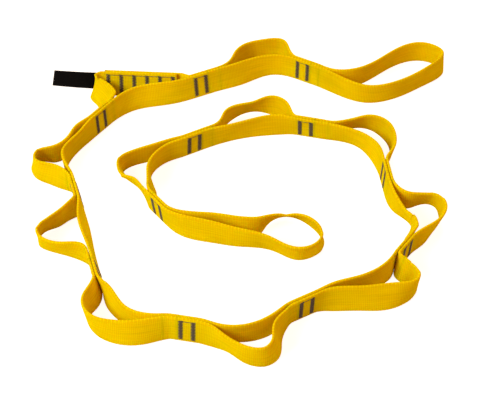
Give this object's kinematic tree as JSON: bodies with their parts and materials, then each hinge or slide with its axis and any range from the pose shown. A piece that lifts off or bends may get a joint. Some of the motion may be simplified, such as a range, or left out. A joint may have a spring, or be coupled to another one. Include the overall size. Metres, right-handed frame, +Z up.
{
  "type": "daisy chain",
  "caption": "Flat webbing daisy chain laid on edge in a spiral: a row of sewn pockets between bar tacks, a loop at each end, a lapped splice and a bare label.",
  "frame": {"origin": "centre of the laid-out chain's box, on the ground that the lower edges of the tape stand on", "axes": "+Z up, across the width of the tape; +X to the right and -Y towards the viewer in the picture; end loop A lies at +X +Y, end loop B near the middle"},
  "size_m": [0.3177, 0.3148, 0.0212],
  "materials": {
    "end_loop_a": "woven nylon, fine cross ribs",
    "bar_tack_01": "polyester thread, satin",
    "spine_01": "woven nylon, fine cross ribs",
    "pocket_01": "woven nylon, fine cross ribs",
    "bar_tack_02": "polyester thread, satin",
    "spine_02": "woven nylon, fine cross ribs",
    "pocket_02_under_lap": "woven nylon, fine cross ribs",
    "pocket_02_over_lap": "woven nylon, fine cross ribs",
    "splice_stitching": "polyester thread, satin",
    "label_root": "woven polyester, smooth",
    "bar_tack_03": "polyester thread, satin",
    "spine_03": "woven nylon, fine cross ribs",
    "pocket_03": "woven nylon, fine cross ribs",
    "bar_tack_04": "polyester thread, satin",
    "spine_04": "woven nylon, fine cross ribs",
    "pocket_04": "woven nylon, fine cross ribs",
    "bar_tack_05": "polyester thread, satin",
    "spine_05": "woven nylon, fine cross ribs",
    "pocket_05": "woven nylon, fine cross ribs",
    "bar_tack_06": "polyester thread, satin",
    "spine_06": "woven nylon, fine cross ribs",
    "pocket_06": "woven nylon, fine cross ribs",
    "bar_tack_07": "polyester thread, satin",
    "spine_07": "woven nylon, fine cross ribs",
    "pocket_07": "woven nylon, fine cross ribs",
    "bar_tack_08": "polyester thread, satin",
    "spine_08": "woven nylon, fine cross ribs",
    "pocket_08": "woven nylon, fine cross ribs",
    "bar_tack_09": "polyester thread, satin",
    "spine_09": "woven nylon, fine cross ribs",
    "pocket_09": "woven nylon, fine cross ribs",
    "bar_tack_10": "polyester thread, satin",
    "spine_10": "woven nylon, fine cross ribs",
    "pocket_10": "woven nylon, fine cross ribs",
    "bar_tack_11": "polyester thread, satin",
    "spine_11": "woven nylon, fine cross ribs",
    "pocket_11": "woven nylon, fine cross ribs",
    "bar_tack_12": "polyester thread, satin",
    "end_loop_b": "woven nylon, fine cross ribs",
    "label_flap": "woven polyester, smooth"
  },
  "bodies": {
    "link_00": {"end_loop_a": "end_loop_a"},
    "link_01": {"bar_tack_01": "bar_tack_01", "spine_01": "spine_01", "pocket_01": "pocket_01"},
    "link_02": {"bar_tack_02": "bar_tack_02", "spine_02": "spine_02", "pocket_02_under_lap": "pocket_02_under_lap", "pocket_02_over_lap": "pocket_02_over_lap", "splice_stitching": "splice_stitching", "label_root": "label_root"},
    "link_03": {"bar_tack_03": "bar_tack_03", "spine_03": "spine_03", "pocket_03": "pocket_03"},
    "link_04": {"bar_tack_04": "bar_tack_04", "spine_04": "spine_04", "pocket_04": "pocket_04"},
    "link_05": {"bar_tack_05": "bar_tack_05", "spine_05": "spine_05", "pocket_05": "pocket_05"},
    "link_06": {"bar_tack_06": "bar_tack_06", "spine_06": "spine_06", "pocket_06": "pocket_06"},
    "link_07": {"bar_tack_07": "bar_tack_07", "spine_07": "spine_07", "pocket_07": "pocket_07"},
    "link_08": {"bar_tack_08": "bar_tack_08", "spine_08": "spine_08", "pocket_08": "pocket_08"},
    "link_09": {"bar_tack_09": "bar_tack_09", "spine_09": "spine_09", "pocket_09": "pocket_09"},
    "link_10": {"bar_tack_10": "bar_tack_10", "spine_10": "spine_10", "pocket_10": "pocket_10"},
    "link_11": {"bar_tack_11": "bar_tack_11", "spine_11": "spine_11", "pocket_11": "pocket_11"},
    "link_12": {"bar_tack_12": "bar_tack_12", "end_loop_b": "end_loop_b"},
    "label": {"label_flap": "label_flap"}
  },
  "joints": [
    {"name": "fold_01", "type": "hinge", "parent": "link_00", "child": "link_01", "pos_m": [0.05512, 0.12442, 0.0106], "axis": [0, 0, 1], "range_deg": [-90, 26]},
    {"name": "fold_02", "type": "hinge", "parent": "link_01", "child": "link_02", "pos_m": [-0.02452, 0.11646, 0.0106], "axis": [0, 0, 1], "range_deg": [-85, 6]},
    {"name": "fold_03", "type": "hinge", "parent": "link_02", "child": "link_03", "pos_m": [-0.10445, 0.07866, 0.0106], "axis": [0, 0, 1], "range_deg": [-60, 4]},
    {"name": "fold_04", "type": "hinge", "parent": "link_03", "child": "link_04", "pos_m": [-0.12427, 0.00127, 0.0106], "axis": [0, 0, 1], "range_deg": [-80, 4]},
    {"name": "fold_05", "type": "hinge", "parent": "link_04", "child": "link_05", "pos_m": [-0.10547, -0.07306, 0.0106], "axis": [0, 0, 1], "range_deg": [-80, 5]},
    {"name": "fold_06", "type": "hinge", "parent": "link_05", "child": "link_06", "pos_m": [-0.04872, -0.13007, 0.0106], "axis": [0, 0, 1], "range_deg": [-80, 5]},
    {"name": "fold_07", "type": "hinge", "parent": "link_06", "child": "link_07", "pos_m": [0.03204, -0.1169, 0.0106], "axis": [0, 0, 1], "range_deg": [-70, 9]},
    {"name": "fold_08", "type": "hinge", "parent": "link_07", "child": "link_08", "pos_m": [0.10578, -0.07025, 0.0106], "axis": [0, 0, 1], "range_deg": [-14, 7]},
    {"name": "fold_09", "type": "hinge", "parent": "link_08", "child": "link_09", "pos_m": [0.10491, 0.00208, 0.0106], "axis": [0, 0, 1], "range_deg": [-18, 21]},
    {"name": "fold_10", "type": "hinge", "parent": "link_09", "child": "link_10", "pos_m": [0.05756, 0.06139, 0.0106], "axis": [0, 0, 1], "range_deg": [-18, 28]},
    {"name": "fold_11", "type": "hinge", "parent": "link_10", "child": "link_11", "pos_m": [-0.0294, 0.05163, 0.0106], "axis": [0, 0, 1], "range_deg": [-55, 15]},
    {"name": "fold_12", "type": "hinge", "parent": "link_11", "child": "link_12", "pos_m": [-0.06783, -0.01274, 0.0106], "axis": [0, 0, 1], "range_deg": [-35, 38]},
    {"name": "label_fold", "type": "hinge", "parent": "link_02", "child": "label", "pos_m": [-0.11119, 0.11672, 0.00996], "axis": [0.0141, 0.2415, 0.9703], "range_deg": [-85, 27]}
  ]
}
